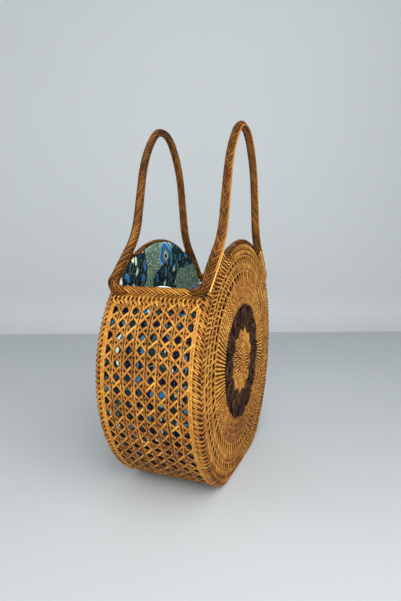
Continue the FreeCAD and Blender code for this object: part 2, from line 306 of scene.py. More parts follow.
class Places:
    """Where the strands of one piece lie: a middle, a turn, a size, a tone and a tint for each."""

    def __init__(self, seed, spread=0.1, tints=1.0):
        self.chance = random.Random(seed)
        self.spread, self.tints = spread, tints
        self.rows = []

    def add(self, middle, along, out, size, tone):
        ahead = along.normalized()
        beside = out.cross(ahead).normalized()
        turn = Matrix((ahead, beside, ahead.cross(beside))).transposed().to_euler()
        tone += self.chance.uniform(-self.spread, self.spread)
        self.rows.append((*middle, *turn, *size, tone, self.chance.uniform(-self.tints, self.tints)))

    def between(self, start, end, out, width, height, tone, lap=1.0):
        reach = end - start
        self.add((start + end) / 2, reach, out, (reach.length * lap, width, height), tone)

    def host(self):
        """Object of bare points that carries the places to the node tree."""
        table = np.array(self.rows, dtype=np.float32)
        mesh = bpy.data.meshes.new("places")
        mesh.vertices.add(len(table))
        mesh.vertices.foreach_set("co", table[:, 0:3].ravel())
        for name, columns in (("turn", slice(3, 6)), ("size", slice(6, 9))):
            layer = mesh.attributes.new(name, "FLOAT_VECTOR", "POINT")
            layer.data.foreach_set("vector", table[:, columns].ravel())
        for column, name in ((9, "tone"), (10, "tint")):
            point_layer(mesh, name, table[:, column])
        return link(bpy.data.objects.new("places", mesh))


def link(made):
    bpy.context.scene.collection.objects.link(made)
    return made


def point_layer(mesh, name, values):
    mesh.attributes.new(name, "FLOAT", "POINT").data.foreach_set("value", values)


def drop_layers(made, *names):
    for name in names:
        made.data.attributes.remove(made.data.attributes[name])


def unwrap(made, flat):
    """Places every point of a mesh on its flat strand or cloth, by its number or its place."""
    mesh = made.data
    uv = mesh.uv_layers.get("UVMap") or mesh.uv_layers.new(name="UVMap")
    for corner in mesh.loops:
        number = corner.vertex_index
        uv.data[corner.index].uv = flat(number, mesh.vertices[number].co)


def plug(tree, made, inputs):
    """Fill or link the input sockets of a node."""
    for socket, value in dict(inputs).items():
        if isinstance(value, bpy.types.NodeSocket):
            tree.links.new(value, made.inputs[socket])
        else:
            made.inputs[socket].default_value = value


def node(tree, kind, inputs=(), **settings):
    """Add a node with its settings and inputs."""
    made = tree.nodes.new(kind)
    for key, value in settings.items():
        setattr(made, key, value)
    plug(tree, made, inputs)
    return made


def weave_tree():
    """Node tree that lays one strand on every place and joins the result to the ground under it."""
    tree = bpy.data.node_groups.new("strands on places", "GeometryNodeTree")
    for name, kind in (
        ("Places", "Geometry"),
        ("Strand", "Object"),
        ("Ground", "Object"),
        ("Size Spread", "Float"),
        ("Twist Spread", "Float"),
        ("Seed", "Int"),
        ("Finish", "Material"),
    ):
        tree.interface.new_socket(name, in_out="INPUT", socket_type="NodeSocket" + kind)
    tree.interface.new_socket("Weave", in_out="OUTPUT", socket_type="NodeSocketGeometry")
    given = node(tree, "NodeGroupInput").outputs

    def drawn(low, high):
        return node(tree, "FunctionNodeRandomValue", {2: low, 3: high, "Seed": given["Seed"]}).outputs[1]

    turn, size = (
        node(tree, "GeometryNodeInputNamedAttribute", {"Name": name}, data_type="FLOAT_VECTOR")
        for name in ("turn", "size")
    )
    less, more = (reckon(tree, sign, 1.0, given["Size Spread"]) for sign in ("SUBTRACT", "ADD"))
    scale = node(tree, "ShaderNodeVectorMath", {0: size.outputs[0], "Scale": drawn(less, more)}, operation="SCALE")
    back = reckon(tree, "MULTIPLY", given["Twist Spread"], -1.0)
    spin = node(tree, "ShaderNodeCombineXYZ", {"Z": drawn(back, given["Twist Spread"])})
    by = node(tree, "FunctionNodeEulerToRotation", {0: spin.outputs[0]})
    laid = node(tree, "FunctionNodeEulerToRotation", {0: turn.outputs[0]})
    turned = node(tree, "FunctionNodeRotateRotation", {0: laid.outputs[0], 1: by.outputs[0]}, rotation_space="LOCAL")
    strand = node(tree, "GeometryNodeObjectInfo", {"Object": given["Strand"]})
    ground = node(tree, "GeometryNodeObjectInfo", {"Object": given["Ground"]})
    every = node(
        tree,
        "GeometryNodeInstanceOnPoints",
        {
            "Points": given["Places"],
            "Instance": strand.outputs["Geometry"],
            "Rotation": turned.outputs[0],
            "Scale": scale.outputs[0],
        },
    )
    joined = node(tree, "GeometryNodeJoinGeometry", {0: every.outputs[0]})
    tree.links.new(ground.outputs["Geometry"], joined.inputs[0])
    real = node(tree, "GeometryNodeRealizeInstances", {0: joined.outputs[0]})
    done = node(tree, "GeometryNodeSetMaterial", {"Geometry": real.outputs[0], "Material": given["Finish"]})
    node(tree, "NodeGroupOutput", {0: done.outputs[0]})
    return tree


def strand(name):
    """Unit strand along X with a rounded top, made when it is first asked for."""
    found = bpy.data.objects.get(name)
    if found:
        return found
    arch, tip = MOTIFS[name]
    section = [(-0.5, -0.15), (-0.32, 0.34), (0, 0.5), (0.32, 0.34), (0.5, -0.15), (0.25, -0.5), (-0.25, -0.5)]
    stations = [-0.5, -0.3, 0.0, 0.3, 0.5]
    points, faces, count = [], [], len(section)
    for x in stations:
        share = abs(2 * x) ** 2.5
        wide, drop = 1 - (1 - tip) * share, arch * (2 * x) ** 2
        points += [(x, y * wide, z * (0.5 + 0.5 * wide) - drop) for y, z in section]
    for k in range(len(stations) - 1):
        for i in range(count):
            j = (i + 1) % count
            faces.append((k * count + i, k * count + j, (k + 1) * count + j, (k + 1) * count + i))
    faces += [tuple(range(count))[::-1], tuple(range(len(points) - count, len(points)))]
    made = plain_mesh(name, points, faces)
    # From 0 at the flanks, at -0.15, to 1 at the top, at 0.5; the cane finish paints shade on the flanks from it
    point_layer(made.data, "crest", [max(0.0, (z + 0.15) / 0.65) ** 2 for _ in stations for _, z in section])
    unwrap(made, lambda number, co: (stations[number // count] + 0.5, number % count / (count - 1)))
    return made


def plain_mesh(name, points, faces):
    """Smooth closed mesh with its faces pointing outwards."""
    mesh = bpy.data.meshes.new(name)
    mesh.from_pydata(points, [], faces, shade_flat=False)
    shape = bmesh.new()
    shape.from_mesh(mesh)
    bmesh.ops.recalc_face_normals(shape, faces=shape.faces)
    shape.to_mesh(mesh)
    shape.free()
    return link(bpy.data.objects.new(name, mesh))


def ground(parts):
    """Plates and cores under the stitches, each a row of equal loops of points with a tone; a low tone paints the
    shade between the stitches.
    """
    points, faces, tones = [], [], []
    for loops, closed, tone in parts:
        base, size, count = len(points), len(loops[0]), len(loops)
        for loop in loops:
            points += [tuple(p) for p in loop]
        for i in range(count if closed else count - 1):
            one, two = base + i * size, base + (i + 1) % count * size
            faces += [(one + k, one + (k + 1) % size, two + (k + 1) % size, two + k) for k in range(size)]
        if not closed:
            faces += [tuple(range(base, base + size))[::-1], tuple(range(len(points) - size, len(points)))]
        tones += [tone] * (size * count)
    made = plain_mesh("ground", points, faces)
    point_layer(made.data, "tone", tones)
    point_layer(made.data, "crest", [1.0] * len(points))
    unwrap(made, lambda number, co: ((co.x + co.y) / GROUND_GRAIN, co.z / GROUND_GRAIN))
    return made


def plate(side, inner, outer, start=0.0, turn=2 * pi):
    """Flat ring under the stitches of a disc, or a part of one, in the form that ground takes."""
    count, whole, loops = 120, turn >= 2 * pi, []
    outside, inside = side * (HALF_DEPTH - PLATE_DEPTH), side * (HALF_DEPTH - FACE_WALL)
    for k in range(count if whole else count + 1):
        a = start + turn * k / count
        corners = ((inner, outside), (outer, outside), (outer, inside), (inner, inside))
        loops.append([polar(reach, a, y) for reach, y in corners])
    # Tone 0 paints the shade in the gaps between the stitches
    return loops, whole, 0.0


def tube(path, radius, sides=10, step=4 * MM):
    """Loops of a round core along a path, as thick as its place asks."""
    count = max(2, round(path.length / step))
    loops = []
    for k in range(count + 1):
        point, _, out, over = path.frame(path.length * k / count)
        thick = value_at(radius, point)
        turns = [2 * pi * i / sides for i in range(sides)]
        loops.append([point + out * thick * cos(a) + over * thick * sin(a) for a in turns])
    return loops


def weave(name, finish, passes, under, seed, spread=0.06, twist=0.03):
    """Lays each pass of strands with the node tree and keeps one plain mesh of them all."""
    tree = bpy.data.node_groups.get("strands on places") or weave_tree()
    sockets = {item.name: item.identifier for item in tree.interface.items_tree if item.in_out == "INPUT"}
    for number, (motif, places) in enumerate(passes.items()):
        host = places.host()
        modifier = host.modifiers.new("weave", "NODES")
        modifier.node_group = tree
        values = {
            "Strand": strand(motif),
            "Ground": under,
            "Size Spread": spread,
            "Twist Spread": twist,
            "Seed": seed + number,
            "Finish": finish,
        }
        for socket, value in values.items():
            modifier[sockets[socket]] = value
        bpy.context.view_layer.update()
        graph = bpy.context.evaluated_depsgraph_get()
        woven = host.evaluated_get(graph)
        mesh = bpy.data.meshes.new_from_object(woven, preserve_all_data_layers=True, depsgraph=graph)
        discard(host)
        discard(under)
        under = link(bpy.data.objects.new(name, mesh))
    drop_layers(under, "turn", "size")
    under.name = under.data.name = name
    return under


def discard(made):
    mesh = made.data
    bpy.data.objects.remove(made)
    bpy.data.meshes.remove(mesh)


def keep(made, body, slot, *nodes):
    """Hands a finished piece to the frame: its body and the nodes that it stands for. The slot is not used."""
    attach(made, body)
    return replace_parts(made, *nodes)


def finish_of(name, build, *colours):
    """The finish of that name, built when it is first asked for."""
    made = bpy.data.materials.get(name)
    if not made:
        made = bpy.data.materials.new(name)
        made.use_nodes = True
        tree = made.node_tree
        plug(tree, tree.nodes["Principled BSDF"], build(tree, *colours))
    return made


def reckon(tree, operation, *values):
    return node(tree, "ShaderNodeMath", enumerate(values), operation=operation).outputs[0]


def remap(tree, *values):
    """A value moved to another range: the value, from low, from high, to low and to high."""
    return node(tree, "ShaderNodeMapRange", enumerate(values)).outputs[0]


def grain(tree, place, scale, detail):
    return node(tree, "ShaderNodeTexNoise", {"Vector": place, "Scale": scale, "Detail": detail}).outputs


def mix(tree, share, *colours):
    one, two = (c if isinstance(c, bpy.types.NodeSocket) else (*c, 1) for c in colours)
    return node(tree, "ShaderNodeMix", {0: share, 6: one, 7: two}, data_type="RGBA").outputs[2]


def ramp(tree, value, *stops, interpolation="LINEAR"):
    """Colours along a value, each with its place from first to last."""
    made = node(tree, "ShaderNodeValToRGB", {0: value})
    made.color_ramp.interpolation = interpolation
    ends = made.color_ramp.elements
    for end, (position, shown) in ((ends[0], stops[0]), (ends[1], stops[-1])):
        end.position, end.color = position, (*shown, 1)
    for position, shown in stops[1:-1]:
        ends.new(position).color = (*shown, 1)
    return made.outputs[0]


def bump(tree, height, strength, distance):
    return node(tree, "ShaderNodeBump", {"Strength": strength, "Distance": distance, "Height": height}).outputs[0]


def cane(tree, light, honey, brown, shade, red, polish):
    """Split rattan skin: long fibres, a low polish, and honey tones that differ from strand to strand."""
    layers = [node(tree, "ShaderNodeAttribute", attribute_name=name) for name in ("tone", "tint", "crest")]
    tone, tint, crest = (layer.outputs["Fac"] for layer in layers)
    uv = node(tree, "ShaderNodeUVMap", uv_map="UVMap").outputs[0]
    place = node(tree, "ShaderNodeTexCoord").outputs["Object"]
    # Fibres run along each strand, about eight across its width
    stretched = node(tree, "ShaderNodeMapping", {"Vector": uv, "Scale": (1.6, 8.0, 1.0)}).outputs[0]
    fibre = grain(tree, stretched, 1.0, 3.0)[0]
    # Patches of sun and handling, about 25 mm across, and blotches of about 6 mm
    patch, blotch = (grain(tree, place, scale, 2.0)[0] for scale in (40.0, 170.0))
    streaked = reckon(tree, "MULTIPLY_ADD", fibre, 0.5, tone)
    patched = reckon(tree, "MULTIPLY_ADD", patch, 0.4, streaked)
    # Painted shade: the flanks of a strand are darker than its crest
    patched_and_flank_shaded = reckon(tree, "MULTIPLY_ADD", crest, 0.7, patched)
    # The tone is lowered by 1.05, and by up to 0.1 more towards the foot of the bag below 160 mm, a painted shade
    height = node(tree, "ShaderNodeSeparateXYZ", {0: place}).outputs["Z"]
    centred = reckon(tree, "SUBTRACT", patched_and_flank_shaded, remap(tree, height, 0.0, 0.16, 1.15, 1.05))
    skin = ramp(tree, centred, (0.0, shade), (0.3, brown), (0.62, honey), (1.0, light))
    # Some strands are redder than the rest, and blotches are too
    drawn, spot = remap(tree, tint, 0.4, 1.0, 0.0, 0.5), remap(tree, blotch, 0.52, 0.72, 0.0, 0.5)
    return {
        "Base Color": mix(tree, reckon(tree, "MAXIMUM", drawn, spot), skin, red),
        "Roughness": remap(tree, fibre, 0.3, 0.7, 0.4, 0.6),
        # Only the outer skin is polished, the cores are dull
        "Specular IOR Level": remap(tree, tone, 0.1, 0.4, 0.04, polish),
        "Normal": bump(tree, fibre, 0.5, 0.25 * MM),
        "IOR": 1.5,
    }


def cotton(tree, ground_colour, navy, blue, teal, cream, dark_share):
    """Printed plain-weave cotton: matt, with a fine thread and a generic print of rings, leaves and dots."""
    uv = node(tree, "ShaderNodeUVMap", uv_map="UVMap").outputs[0]

    def below(value, limit, above, under):
        return mix(tree, reckon(tree, "LESS_THAN", value, limit), above, under)

    def cells(place, apart, **more):
        return node(tree, "ShaderNodeTexVoronoi", {"Vector": place, "Scale": 1 / apart, **more}).outputs

    def sorts(found):
        return node(tree, "ShaderNodeSeparateColor", {0: found["Color"]}).outputs

    # Dots of the ground lie about 2 mm apart, some pale and some dark
    dots = cells(uv, 2 * MM)
    dotted = below(sorts(dots)[0], 0.4, cream, teal)
    speckled = below(dots["Distance"], 0.36, ground_colour, dotted)
    # Rings sit in patches about 50 mm apart, with wavy edges
    wave = grain(tree, uv, 60.0, 1.0)["Color"]
    moved = node(tree, "ShaderNodeVectorMath", {0: wave, "Scale": 14 * MM}, operation="SCALE").outputs[0]
    bent = node(tree, "ShaderNodeVectorMath", {0: uv, 1: moved}, operation="ADD").outputs[0]
    patch = cells(bent, 50 * MM, Randomness=0.8)["Distance"]
    rings = [(0.0, navy), (0.07, cream), (0.1, ground_colour), (0.17, blue)]
    rings += [(0.29, cream), (0.31, blue), (0.36, cream)]
    ringed = below(patch, 0.38, speckled, ramp(tree, patch, *rings, interpolation="CONSTANT"))
    # Leaves about 8 mm wide and 15 mm long, pale and blue ones among the dark
    lean = {"Vector": bent, "Rotation": (0, 0, 0.7), "Scale": (1.8, 1.0, 1.0)}
    leaves = cells(node(tree, "ShaderNodeMapping", lean).outputs[0], 14 * MM)
    kinds = sorts(leaves)
    marks = below(kinds[0], 0.28, below(kinds[1], 0.4, navy, blue), cream)
    sprinkled = below(dots["Distance"], 0.2, below(kinds[2], 0.5, teal, navy), ground_colour)
    edged = below(leaves["Distance"], 0.43, sprinkled, ground_colour)
    dark = below(leaves["Distance"], 0.36, edged, marks)
    zone = grain(tree, uv, 13.0, 0.0)[0]
    # Thread count is drawn at 0.8 mm so that it still shows
    thread = node(tree, "ShaderNodeTexChecker", {"Vector": uv, "Scale": 1 / (0.8 * MM)}).outputs["Fac"]
    return {
        "Base Color": below(zone, dark_share, ringed, dark),
        "Normal": bump(tree, thread, 0.25, 0.1 * MM),
        "Roughness": 0.85,
        "Specular IOR Level": 0.1,
    }


def tape(tree, pale):
    """Bleached cotton tape: matt and faintly ribbed."""
    place = node(tree, "ShaderNodeTexCoord").outputs["Object"]
    # Ribs lie 1.2 mm apart along the tape; the shade of their grooves is painted as darker bands
    rib = node(tree, "ShaderNodeTexWave", {"Vector": place, "Scale": 260.0}, bands_direction="Y").outputs["Fac"]
    shades = remap(tree, rib, 0.0, 1.0, 0.8, 1.0)
    return {"Base Color": mix(tree, shades, [c * 0.7 for c in pale], pale), "Roughness": 0.8}


def matt(tree, pale):
    """Painted board: even, matt and faintly mottled."""
    place = node(tree, "ShaderNodeTexCoord").outputs["Object"]
    mottle = grain(tree, place, 3.0, 2.0)[0]
    return {"Base Color": mix(tree, mottle, [c * 0.97 for c in pale], pale), "Roughness": 0.7}


def cane_finish():
    c = bpy.context.scene.bag_colours
    return finish_of("rattan cane", cane, c.cane_light, c.cane_honey, c.cane_brown, c.cane_shade, c.cane_red, 0.25)


def dyed_finish():
    c = bpy.context.scene.bag_colours
    return finish_of("dyed rattan", cane, c.dyed_light, c.dyed_brown, c.dyed_dark, c.dyed_dark, c.dyed_brown, 0.12)


def stitch_row(places, side, inner, outer, count, lean, size, tone, start=0.0, turn=2 * pi, shift=0.0):
    """Stitches side by side round a disc, between two reaches given as numbers or by angle."""
    y = side * (HALF_DEPTH - size[1] * 0.25)
    for k in range(count):
        a = start + turn * (k + 0.5) / count + shift
        b = a + lean / value_at(outer, a)
        here, there = polar(value_at(inner, a), a, y), polar(value_at(outer, b), b, y)
        places.between(here, there, ACROSS * side, *size, tone)


def plait(places, path, radius, sizes, tone, columns=4):
    """Long strands in columns round a core, leaning left and right in turn."""
    count = round(path.length / sizes.plait_pitch)
    slant = sizes.plait_slant
    for column in range(columns):
        sign = 1 if column % 2 else -1
        angle = 2 * pi * (column + 0.5) / columns
        for k in range(count):
            d = path.length * (k + 0.5 + 0.25 * sign) / count
            point, ahead, out, over = path.frame(d)
            thick = radius(point)
            bend = min(1.0, path.frame(d - 5 * MM)[1].angle(path.frame(d + 5 * MM)[1]))
            reach = 2 * pi * thick / columns / sin(slant) * (1 - 0.45 * bend)
            face = out * cos(angle) + over * sin(angle)
            beside = over * cos(angle) - out * sin(angle)
            lean = ahead * cos(slant) + beside * sign * sin(slant) * (1 - 0.4 * bend)
            places.add(point + face * (thick - 0.8 * MM), lean, face, (reach, sizes.plait_width, 1.7 * MM), tone)


class BAG_OT_side_band(bpy.types.Operator):
    """Weave the open cane band of the side, its edges and the twined rows under the mouth"""

    bl_idname = "bag.side_band"
    bl_label = "Side band"

    WOBBLE_SEED, WOBBLE_SCALE, WOBBLE = 5, 30, 1.9 * MM
    # Each sort of cane: lift off the band, share of its span, share of the cane's width, and tone
    UPRIGHT, CROSS = (0.7 * MM, 1.08, 1.2, 0.5), (0.0, 1.08, 1.12, 0.51)
    # The canes that cross on top take a lighter tone, a painted highlight
    OVER, UNDER = (1.4 * MM, 0.95, 1.3, 0.63), (0.8 * MM, 1.02, 1.25, 0.53)
    # From the middle of a pair of canes to each of them, as a share of the cane's width
    UPRIGHT_PAIR, CROSS_PAIR = 0.64, 0.86
    PAIR_SPREAD = 0.14
    EDGE_INSET, EDGE_LIFT, EDGE_TONE = 1.2 * MM, 1.2 * MM, 0.7
    EDGE_WRAP = (6.0 * MM, 2.3 * MM, 1.7 * MM)
    RAIL_RADIUS, RAIL_LIFT, RAIL_TONE = 1.1 * MM, 0.5 * MM, 0.55

    def execute(self, context):
        sizes = context.scene.bag_sizes
        self.lattice(sizes)
        for name, hand in HANDS.items():
            self.border(name, hand)
        return {"FINISHED"}

    def lattice(self, sizes):
        path = band_path(BAND_WALL / 2, BORDER_ANGLE)
        rows, columns = sizes.cell_rows, sizes.cell_columns
        step, pitch = path.length / rows, 2 * BAND_HALF / columns
        wide, high = sizes.cane_width, sizes.cane_height
        flat, bulge, over = Places(11, 0.14), Places(13, 0.12), Places(12, 0.16)
        tones = random.Random(3)
        noise.seed_set(self.WOBBLE_SEED)

        def lay(places, d, y, lift, lean, size, tone):
            # Hand-drawn unevenness, which every strand near it shares
            wobble = noise.noise_vector(Vector((d, y, 0)) * self.WOBBLE_SCALE) * self.WOBBLE
            point, ahead, out, _ = path.frame(min(max(d + wobble.x, 0.0), path.length))
            place = point + ACROSS * (y + wobble.y * (1 - (y / BAND_HALF) ** 2)) + out * lift
            places.add(place, ahead * lean[0] + ACROSS * lean[1], out, size, tone)

        def lay_cane(places, d, y, lean, span, sort, shade=0.0):
            lift, share, width, tone = sort
            lay(places, d, y, lift, lean, (span * share, wide * width, high), tone + shade)

        # Pairs of canes along the band and across it
        for i in range(columns + 1):
            for half in (-1, 1):
                y = (i - columns / 2) * pitch + half * self.UPRIGHT_PAIR * wide
                shade = tones.uniform(-self.PAIR_SPREAD, self.PAIR_SPREAD)
                if abs(y) < BAND_HALF:
                    for j in range(rows):
                        lay_cane(bulge, (j + 0.5) * step, y, (1, 0), step, self.UPRIGHT, shade)
        for j in range(rows + 1):
            for half in (-1, 1):
                shade = tones.uniform(-self.PAIR_SPREAD, self.PAIR_SPREAD)
                for i in range(columns):
                    y, d = (i + 0.5 - columns / 2) * pitch, j * step + half * self.CROSS_PAIR * wide
                    lay_cane(bulge, d, y, (0, 1), pitch, self.CROSS, shade)
        # Slanting canes both ways between the cells
        reach = hypot(step, pitch)
        for j in range(rows + 1):
            for i in range(columns):
                y = (i + 0.5 - columns / 2) * pitch
                lay_cane(over, j * step, y, (step, -pitch), reach, self.OVER)
                lay_cane(flat, j * step, y, (step, pitch), reach, self.UNDER)
        # Wrapped edges where the band is sewn to the discs
        count = round(path.length / sizes.edge_step)
        for side in SIDES.values():
            for k in range(count):
                d, y = (k + 0.5) * path.length / count, side * (BAND_HALF - self.EDGE_INSET)
                lay(over, d, y, self.EDGE_LIFT, (-0.9, side), self.EDGE_WRAP, self.EDGE_TONE)
        rails = []
        for y in (-BAND_HALF + 3.2 * MM, -BAND_HALF + 0.8 * MM, BAND_HALF - 0.8 * MM, BAND_HALF - 3.2 * MM):
            laid = zip(path.points, path.out)
            line = [Vector(p) + ACROSS * y + Vector(o) * self.RAIL_LIFT for p, o in laid]
            rails.append((tube(Path(line, path.out[0]), self.RAIL_RADIUS, 6), False, self.RAIL_TONE))
        passes = {"straight cane": flat, "pressed cane": bulge, "crossing cane": over}
        made = weave("gusset_cane", cane_finish(), passes, ground(rails), 20, twist=0.06)
        keep(made, "basket", "cane_lattice", "gusset_lattice")

    def border(self, name, hand):
        rows = Places(30 + hand, 0.16)
        path = band_path(BAND_WALL / 2)
        end = (MOUTH_ANGLE - BORDER_ANGLE) * (FACE_RADIUS - BAND_WALL / 2)
        levels, count = 2, 40
        for level in range(levels):
            for k in range(count):
                sign = 1 if k % 2 else -1
                y = ((k + 0.5) / count * 2 - 1) * (BAND_HALF - 1 * MM)
                point, ahead, out, _ = path.frame(end * (0.36 + 0.4 * level))
                middle = point + ACROSS * y + out * (1.2 + 0.5 * sign) * MM
                lean = ahead + ACROSS * sign * (0.6 - 1.2 * level)
                turned = mirrored((middle, lean, out), hand)
                rows.add(*turned, size=(8.6 * MM, 2.5 * MM, 2.2 * MM), tone=0.62 + 0.12 * sign)
        # The plate under the twined rows is dark, a painted shade between them
        loops = []
        for k in range(9):
            point, _, out, _ = path.frame(1.0 * MM + (end + 1.0 * MM) * k / 8)
            corners = ((0, -1), (0, 1), (-1.4, 1), (-1.4, -1))
            loop = [point + out * t * MM + ACROSS * s * BAND_HALF for t, s in corners]
            loops.append(mirrored(loop, hand))
        made = weave(name + "_twined_border", cane_finish(), {"wrap": rows}, ground([(loops, False, 0.0)]), 40 + hand)
        keep(made, "basket", "natural_coil", name + "_gusset_border")


class BAG_OT_discs(bpy.types.Operator):
    """Stitch the coiled discs: star, petals, dense ring, open rows, edges and crowns"""

    bl_idname = "bag.discs"
    bl_label = "Discs"

    def execute(self, context):
        sizes = context.scene.bag_sizes
        for name, side in SIDES.items():
            self.star(sizes, name, side)
            self.petals(name, side)
            self.dense(sizes, name, side)
            self.open_rows(sizes, name, side)
            self.edge(sizes, name, side)
            self.top(sizes, name, side)
            self.shoulders(name, side)
        return {"FINISHED"}

    def sew(self, name, replaced, passes, plates, seed, slot="natural_coil", finish=None):
        made = weave(name, finish or cane_finish(), passes, ground(plates), seed, spread=0.08, twist=0.05)
        keep(made, "basket", slot, replaced)

    def star(self, sizes, name, side):
        rows = Places(50 + side, 0.16)
        for k in range(4):
            low, high = max(k * COIL_ROW - 0.6 * MM, 0.5 * MM), (k + 1) * COIL_ROW + 0.4 * MM
            count = max(6, round(pi * (low + high) / sizes.stitch_step))
            lean = (3.0 if k % 2 else -3.0) * MM
            stitch_row(rows, side, low, high, count, lean, (2.5 * MM, sizes.stitch_height), 0.7, shift=0.4 * k)
        points = Places(60 + side, 0.22)
        y = side * (HALF_DEPTH - 0.4 * MM)
        across = 7
        for k in range(across * PETALS):
            # The stitches lengthen towards the middle of each point of the star
            near, number = 2 * pi * (k // across + 0.5) / PETALS, k % across - across // 2
            a = near + number * 2 * pi / (across * PETALS)
            here = polar(4 * COIL_ROW - 1.0 * MM, a, y)
            there = polar(STAR_EDGE + (4.2 - 2.0 * abs(number)) * MM, near + (a - near) * 0.92, y)
            points.between(here, there, ACROSS * side, width=1.9 * MM, height=1.8 * MM, tone=0.66)
        plates = [plate(side, 0.2 * MM, STAR_EDGE)]
        passes = {"wrap": rows, "spike": points}
        self.sew(name + "_star_stitches", name + "_star_centre", passes, plates, 70 + side)

    def petals(self, name, side):
        bars, spikes = Places(80 + side, 0.3), Places(90 + side, 0.25)
        middle = (STAR_EDGE + PETAL_EDGE) / 2
        half_wide = middle * sin(pi / PETALS) - 1.6 * MM
        half_long = (PETAL_EDGE - STAR_EDGE) / 2
        y = side * HALF_DEPTH
        for k in range(PETALS):
            turn = 2 * pi * k / PETALS
            ahead, beside = Vector((cos(turn), 0, sin(turn))), Vector((-sin(turn), 0, cos(turn)))
            centre = polar(middle, turn, y)

            def on(a, inset, lift):
                flat = ahead * (half_long - inset) * cos(a) + beside * (half_wide - inset) * sin(a)
                return centre + flat + ACROSS * side * lift

            for loop in range(4):
                inset, lift = (1.2 + 2.6 * loop) * MM, (0.15 * loop - 0.2) * MM
                count = 12 - 2 * loop
                for i in range(count):
                    ends = [on(2 * pi * (i + j) / count, inset, lift) for j in (0, 1)]
                    tone = 0.62 - 0.07 * loop
                    bars.between(*ends, ACROSS * side, width=1.9 * MM, height=2.0 * MM, tone=tone, lap=1.2)
            for i in range(-2, 3):
                here = polar(PETAL_EDGE - 6 * MM, turn + i * 0.075, y + side * 0.5 * MM)
                there = polar(PETAL_EDGE + (3.6 - 0.9 * abs(i)) * MM, turn + i * 0.085, y + side * 0.5 * MM)
                spikes.between(here, there, ACROSS * side, width=2.4 * MM, height=2.0 * MM, tone=0.45)
        passes, plates = {"low wrap": bars, "leaf": spikes}, [plate(side, STAR_EDGE, PETAL_EDGE)]
        self.sew(name + "_dark_petals", name + "_petals", passes, plates, 100 + side, "dark_coil", dyed_finish())

    def dense(self, sizes, name, side):
        rows = Places(110 + side, 0.15)
        y = side * (HALF_DEPTH - sizes.stitch_height * 0.25)

        def place(reach, number):
            # Each stitch lies between two grooves of the solid coil
            drop = STITCH_LEAN * (reach - PETAL_EDGE + COIL_ROW) / (DENSE_EDGE - PETAL_EDGE + 2 * COIL_ROW)
            return polar(reach, 2 * pi * (number + 0.5) / STITCH_COUNT - atan2(drop, reach), y)

        for k in range(8):
            low, high = (PETAL_EDGE + COIL_ROW * (k + j) / 2 for j in (0, 1))
            wide = 0.72 * pi * (low + high) / STITCH_COUNT
            tone = 0.74 if k % 2 else 0.66
            for i in range(STITCH_COUNT):
                # Painted shade: the ring darkens towards its top, and more towards its foot
                lift = sin(2 * pi * (i + 0.5) / STITCH_COUNT)
                dark = (0.14 if lift > 0 else 0.24) * lift * lift
                ends = place(low, i), place(high, i)
                rows.between(*ends, ACROSS * side, wide, sizes.stitch_height, tone - dark, lap=1.12)
        plates = [plate(side, PETAL_EDGE, DENSE_EDGE - 0.2 * MM)]
        self.sew(name + "_dense_stitches", name + "_dense_coil", {"low wrap": rows}, plates, 120 + side)

    def open_rows(self, sizes, name, side):
        for title, inner, outer, count in (
            ("inner", DENSE_EDGE, INNER_OPEN_EDGE, 72),
            ("outer", DIVIDER_EDGE, OUTER_OPEN_EDGE, 84),
        ):
            posts, rails = Places(130 + side + count, 0.15), []
            y = side * (HALF_DEPTH - PLATE_DEPTH)
            for k in range(count):
                a = 2 * pi * (k + 0.5) / count
                for sign in (-1, 1):
                    shift, depth = (sign * 1.9 + 0.7) * MM / inner, ACROSS * side * sign * 0.7 * MM
                    here, there = polar(inner, a - shift, y) + depth, polar(outer, a + shift, y) + depth
                    # The post set deeper is darker, a painted shade
                    tone = 0.64 + 0.12 * sign
                    posts.between(here, there, ACROSS * side, width=1.9 * MM, height=1.8 * MM, tone=tone)
            for reach in (inner + 0.8 * MM, outer - 0.8 * MM):
                hoop = Path([polar(reach, 2 * pi * k / 144, y) for k in range(145)], Vector((1, 0, 0)))
                rails.append((tube(hoop, 1.0 * MM, 6, hoop.length / 144)[:-1], True, 0.4))
            title = name + "_" + title + "_open"
            self.sew(title + "_posts", title + "work", {"post": posts}, rails, 140 + side + count)
        rows = Places(150 + side, 0.14)
        low, high = INNER_OPEN_EDGE - 0.8 * MM, DIVIDER_EDGE + 0.8 * MM
        count = round(pi * (low + high) / sizes.edge_step)
        stitch_row(rows, side, low, high, count, 5.5 * MM, (sizes.stitch_width * 0.9, sizes.stitch_height), 0.66)
        plates = [plate(side, INNER_OPEN_EDGE, DIVIDER_EDGE - 0.2 * MM)]
        self.sew(name + "_divider_stitches", name + "_divider_coil", {"wrap": rows}, plates, 160 + side)

    def edge(self, sizes, name, side):
        rows = Places(170 + side, 0.15)
        size = (sizes.stitch_width, sizes.stitch_height)
        start, turn = pi - MOUTH_ANGLE, pi + 2 * MOUTH_ANGLE

        def part(share):
            return lambda a: OUTER_OPEN_EDGE + share * (outline_reach(a) - OUTER_OPEN_EDGE)

